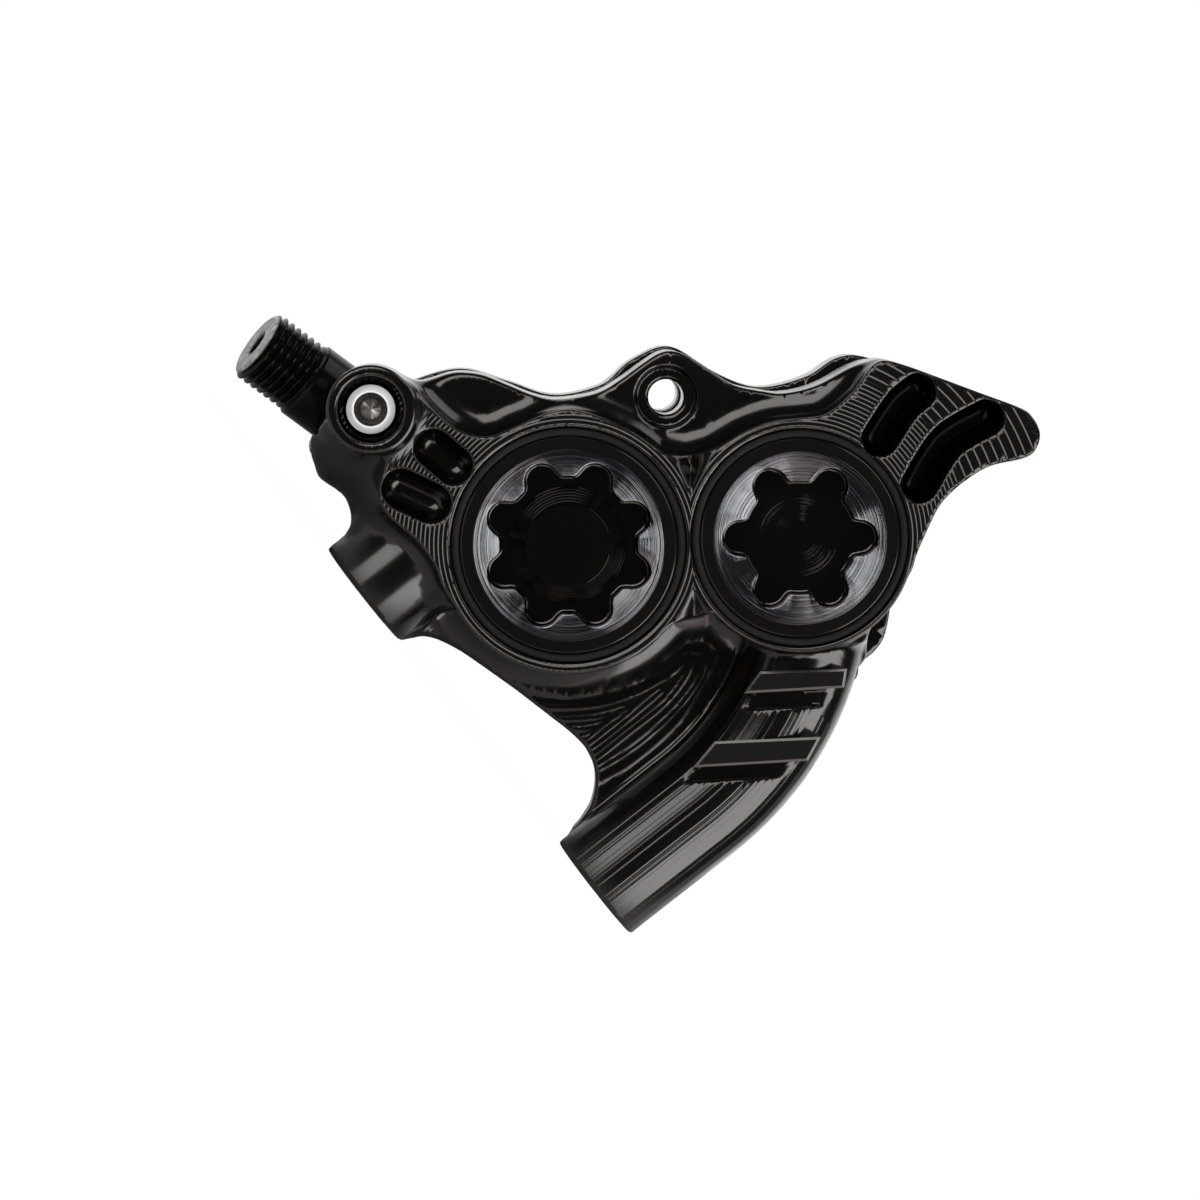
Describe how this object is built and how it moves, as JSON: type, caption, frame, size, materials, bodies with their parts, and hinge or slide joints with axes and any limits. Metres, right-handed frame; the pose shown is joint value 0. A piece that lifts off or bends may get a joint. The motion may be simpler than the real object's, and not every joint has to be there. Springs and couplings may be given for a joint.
{
  "type": "bicycle disc brake caliper",
  "caption": "Machined one-piece disc brake caliper for a bicycle, with opposed pistons, bore caps, pads, bleed screw, hose union and flat mounting feet.",
  "frame": {"origin": "midway between the two mounting bolts, on the mounting face", "axes": "+Z away from the frame that it bolts to, +X along the bolt line from the hose side foot to the leg foot, +Y inboard, with the disc in the plane Y = 11 mm"},
  "size_m": [0.0644, 0.0362, 0.0574],
  "materials": {
    "anodised_black": "gloss black anodised, machined",
    "anodised_cap": "gloss black anodised, turned",
    "stainless": "machined stainless steel",
    "rubber": "matt",
    "pad_steel": "plated",
    "friction": "sintered, grainy",
    "piston": "ground",
    "copper": "soft washer"
  },
  "bodies": {
    "body": {"caliper_body": "anodised_black", "large_bore_cap": "anodised_cap", "small_bore_cap": "anodised_cap", "large_cap_oring": "rubber", "small_cap_oring": "rubber", "outer_large_seal": "rubber", "outer_small_seal": "rubber", "inner_large_seal": "rubber", "inner_small_seal": "rubber", "outer_large_wiper": "rubber", "outer_small_wiper": "rubber", "inner_large_wiper": "rubber", "inner_small_wiper": "rubber", "hose_union": "anodised_cap", "hose_union_washer": "copper", "gallery_plug": "stainless", "pad_spring": "stainless"},
    "outer_pad": {"outer_pad_plate": "pad_steel", "outer_pad_lining": "friction"},
    "inner_pad": {"inner_pad_plate": "pad_steel", "inner_pad_lining": "friction"},
    "outer_large_piston": {"outer_large_piston": "piston"},
    "outer_small_piston": {"outer_small_piston": "piston"},
    "inner_large_piston": {"inner_large_piston": "piston"},
    "inner_small_piston": {"inner_small_piston": "piston"},
    "bleed_screw_seal": {"bleed_screw_seal": "rubber"},
    "bleed_screw": {"bleed_screw": "stainless"}
  },
  "joints": [
    {"name": "outer_pad_slide", "type": "slide", "parent": "body", "child": "outer_pad", "axis": [0, 1, 0], "range_m": [0, 0.00115], "deforming": ["pad_spring"]},
    {"name": "inner_pad_slide", "type": "slide", "parent": "body", "child": "inner_pad", "axis": [0, -1, 0], "range_m": [0, 0.00115]},
    {"name": "outer_large_piston_slide", "type": "slide", "parent": "body", "child": "outer_large_piston", "axis": [0, 1, 0], "range_m": [0, 0.00115]},
    {"name": "outer_small_piston_slide", "type": "slide", "parent": "body", "child": "outer_small_piston", "axis": [0, 1, 0], "range_m": [0, 0.00115]},
    {"name": "inner_large_piston_slide", "type": "slide", "parent": "body", "child": "inner_large_piston", "axis": [0, -1, 0], "range_m": [0, 0.00115]},
    {"name": "inner_small_piston_slide", "type": "slide", "parent": "body", "child": "inner_small_piston", "axis": [0, -1, 0], "range_m": [0, 0.00115]},
    {"name": "bleed_screw_lift", "type": "slide", "parent": "body", "child": "bleed_screw_seal", "axis": [0, -1, 0], "range_m": [0, 0.0008]},
    {"name": "bleed_screw_turn", "type": "hinge", "parent": "bleed_screw_seal", "child": "bleed_screw", "pos_m": [-0.02987, -0.0092, 0.01112], "axis": [0, -1, 0], "range_deg": [0, 396]}
  ],
  "couplings": [
    {"joint": "inner_pad_slide", "follows": "outer_pad_slide", "ratio": 1},
    {"joint": "outer_large_piston_slide", "follows": "outer_pad_slide", "ratio": 1},
    {"joint": "outer_small_piston_slide", "follows": "outer_pad_slide", "ratio": 1},
    {"joint": "inner_large_piston_slide", "follows": "outer_pad_slide", "ratio": 1},
    {"joint": "inner_small_piston_slide", "follows": "outer_pad_slide", "ratio": 1},
    {"joint": "bleed_screw_turn", "follows": "bleed_screw_lift", "rad_per_m": 7854}
  ]
}
